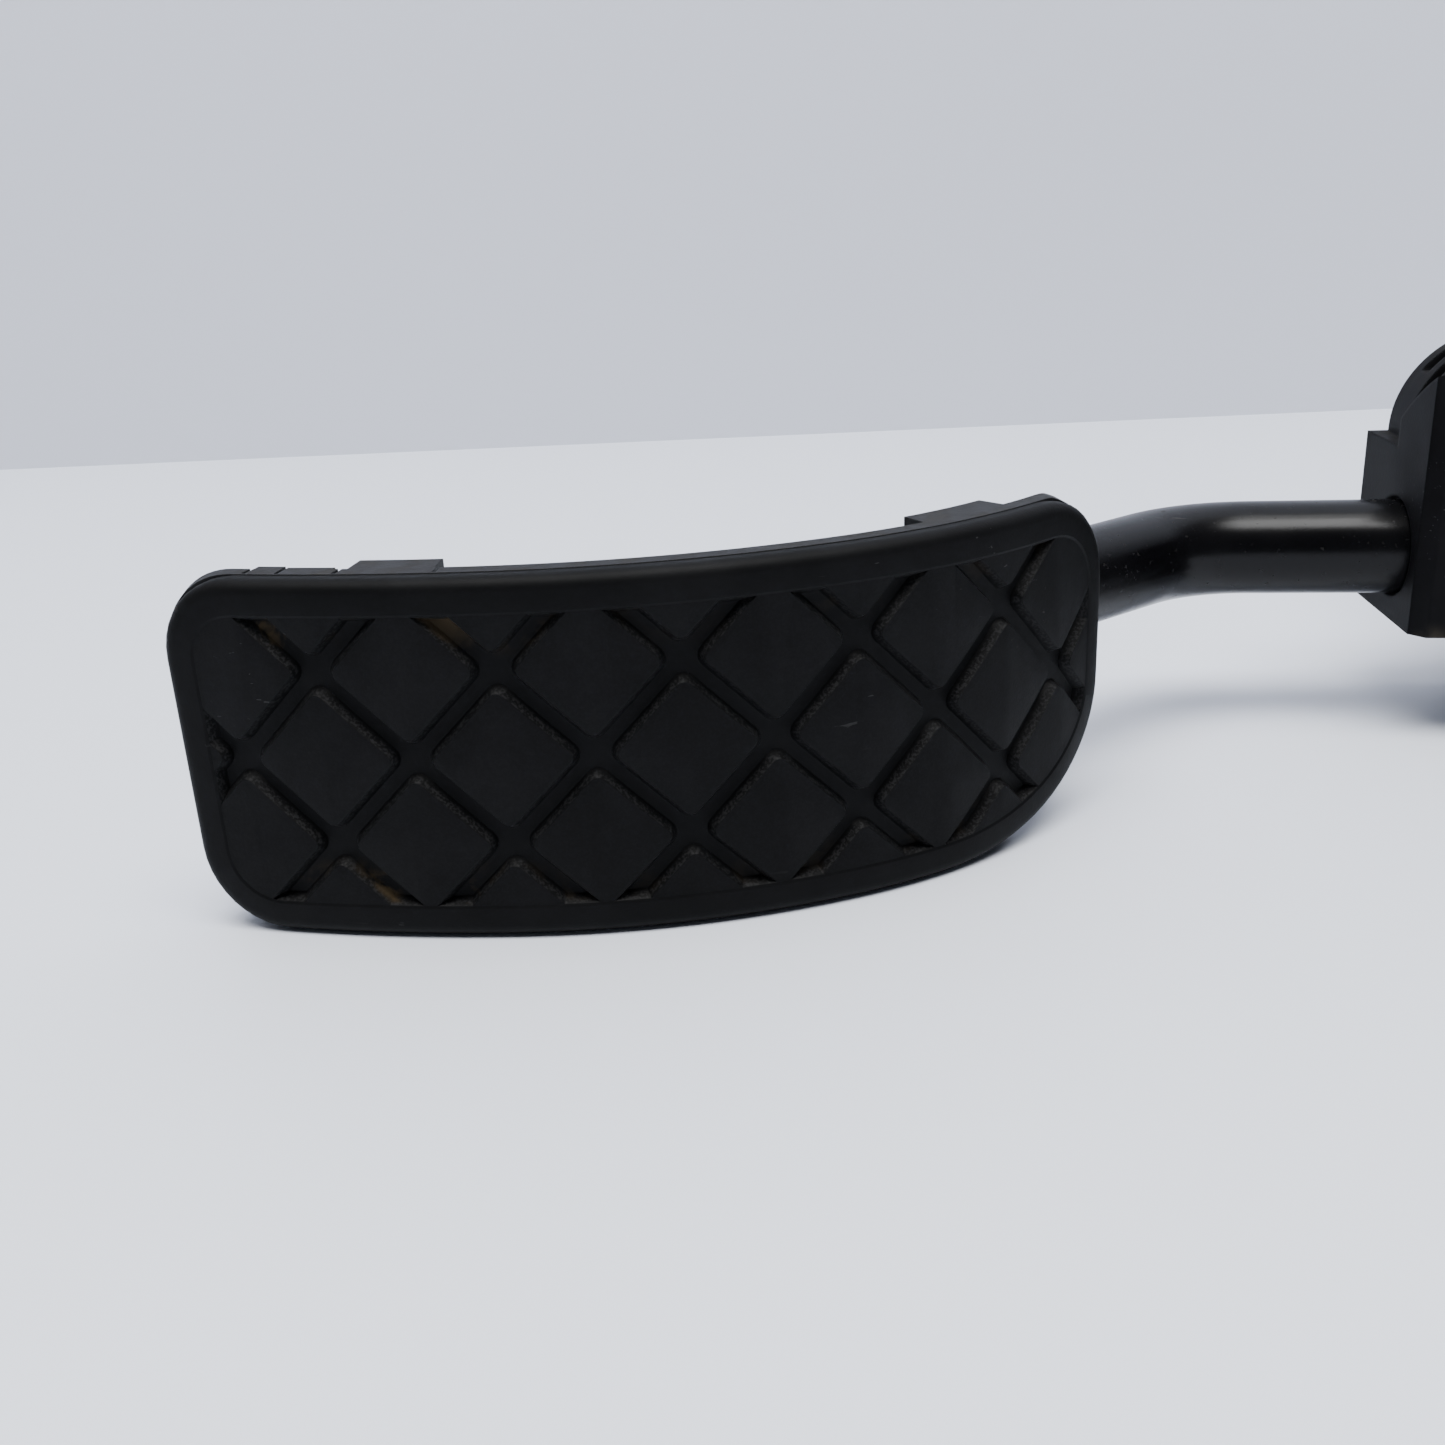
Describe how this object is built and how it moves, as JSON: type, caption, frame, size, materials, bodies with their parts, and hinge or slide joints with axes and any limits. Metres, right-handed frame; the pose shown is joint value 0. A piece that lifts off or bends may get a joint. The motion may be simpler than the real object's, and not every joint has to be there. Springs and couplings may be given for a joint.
{
  "type": "accelerator pedal module",
  "caption": "Curved rubber tread pad on a bent tube arm, hinged with return springs in a bolted housing that holds a contactless angle sensor.",
  "frame": {"origin": "on the mounting face, level with the middle of the arm's hub and midway between the two upper bolts", "axes": "+Y out of the mounting face into the wall it is bolted to, -X along the arm towards the pad, +Z along the pivot shaft; lying on its side, as on a bench, with -Z down"},
  "size_m": [0.3269, 0.1018, 0.0855],
  "materials": {
    "tread_rubber": "matt moulded rubber, near black",
    "carrier_plastic": "fine-grained moulded plastic",
    "tube_paint": "satin black paint",
    "hub_plastic": "glass-filled moulded plastic, dark grey",
    "housing_plastic": "glass-filled moulded plastic, black",
    "cover_plastic": "moulded plastic, black",
    "plug_plastic": "moulded plastic",
    "rotor_plastic": "natural moulded plastic",
    "cup_plastic": "natural acetal",
    "bush_plastic": "low-friction plastic",
    "stop_rubber": "moulded rubber",
    "seal_rubber": "moulded silicone",
    "pin_steel": "rolled spring steel",
    "shaft_steel": "ground steel",
    "spring_steel": "drawn spring steel",
    "washer_steel": "stamped steel",
    "screw_steel": "zinc-plated steel",
    "sleeve_steel": "zinc-plated steel",
    "magnet_metal": "nickel-plated magnet",
    "board_laminate": "green circuit board",
    "chip_plastic": "black encapsulant",
    "pin_brass": "tin-plated brass"
  },
  "bodies": {
    "housing": {"housing_body": "housing_plastic", "housing_lid": "housing_plastic", "sensor_cover": "cover_plastic", "sensor_seal": "seal_rubber", "sensor_board": "board_laminate", "hall_sensors": "chip_plastic", "connector_pins": "pin_brass", "lower_bush": "bush_plastic", "upper_bush": "bush_plastic", "lower_washer": "washer_steel", "upper_washer": "washer_steel", "mount_sleeves": "sleeve_steel", "lid_screws": "screw_steel", "cover_screws": "screw_steel", "idle_stop": "stop_rubber", "full_stop": "stop_rubber", "outer_spring": "spring_steel", "inner_spring": "spring_steel"},
    "pedal": {"rubber_pad": "tread_rubber", "pad_carrier": "carrier_plastic", "socket_pin": "pin_steel", "arm_tube": "tube_paint", "tube_plug": "plug_plastic", "arm_hub": "hub_plastic", "hub_pin": "pin_steel", "pivot_shaft": "shaft_steel", "retaining_ring": "spring_steel", "magnet_holder": "rotor_plastic", "magnet": "magnet_metal"},
    "cup": {"spring_cup": "cup_plastic"}
  },
  "joints": [
    {"name": "pedal_pivot", "type": "hinge", "parent": "housing", "child": "pedal", "pos_m": [-0.0286, -0.0707, 0], "axis": [0, 0, -1], "range_deg": [0, 15], "stiffness_Nm_per_rad": 14, "springref_deg": -14.32, "deforming": ["outer_spring", "inner_spring"]},
    {"name": "cup_rock", "type": "hinge", "parent": "pedal", "child": "cup", "pos_m": [-0.026, -0.03, 0], "axis": [0, 0, -1], "range_deg": [-15, 0]}
  ],
  "couplings": [
    {"joint": "cup_rock", "follows": "pedal_pivot", "ratio": -1}
  ]
}
